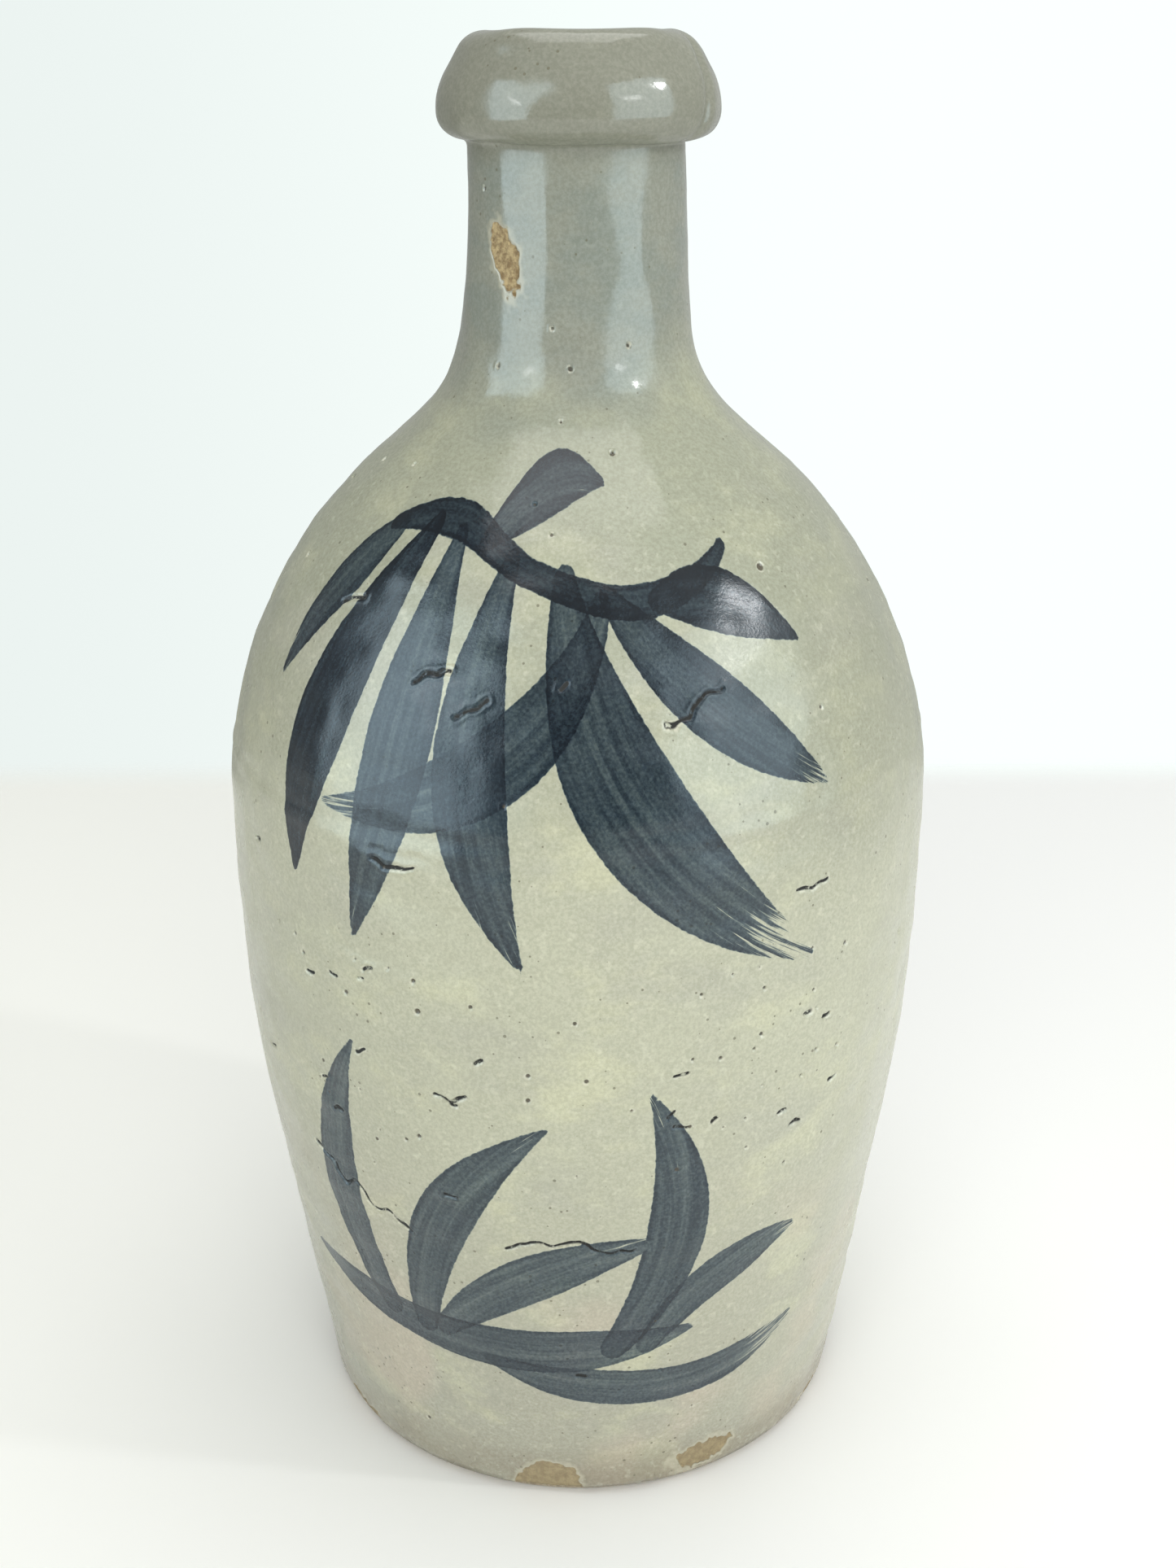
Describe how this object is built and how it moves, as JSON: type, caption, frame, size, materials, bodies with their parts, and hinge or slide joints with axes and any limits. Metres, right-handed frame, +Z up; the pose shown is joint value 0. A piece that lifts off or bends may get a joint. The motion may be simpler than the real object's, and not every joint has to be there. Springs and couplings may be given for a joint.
{
  "type": "sake bottle",
  "caption": "Tall wheel-thrown stoneware sake bottle with a conical body, round shoulder, narrow neck and rolled collar, painted with bamboo and reeds under a grey-green glaze.",
  "frame": {"origin": "centre of the foot, on the plane the bottle stands on", "axes": "+Z up along the bottle's axis towards the mouth, -Y towards the painted front, +X to the right of someone facing the painting"},
  "size_m": [0.1407, 0.1408, 0.28],
  "materials": {
    "clay": "unglazed fired stoneware, tan, slightly gritty",
    "slip": "fired luting slip, a little darker than the clay",
    "outer_glaze": "glossy grey-green ash glaze, mottled cream and grey, with pits",
    "inner_glaze": "thin glossy brown-grey glaze",
    "ink_pigment": "blue-black brushed pigment melted into the glossy glaze"
  },
  "bodies": {
    "root": {"base_disc": "clay", "lower_wall": "clay", "upper_wall": "clay", "neck_tube": "clay", "collar": "clay", "base_slip": "slip", "belly_slip": "slip", "neck_slip": "slip", "collar_slip": "slip", "outer_glaze": "outer_glaze", "inner_glaze": "inner_glaze", "bamboo_brushwork": "ink_pigment", "reed_brushwork": "ink_pigment"}
  },
  "joints": []
}
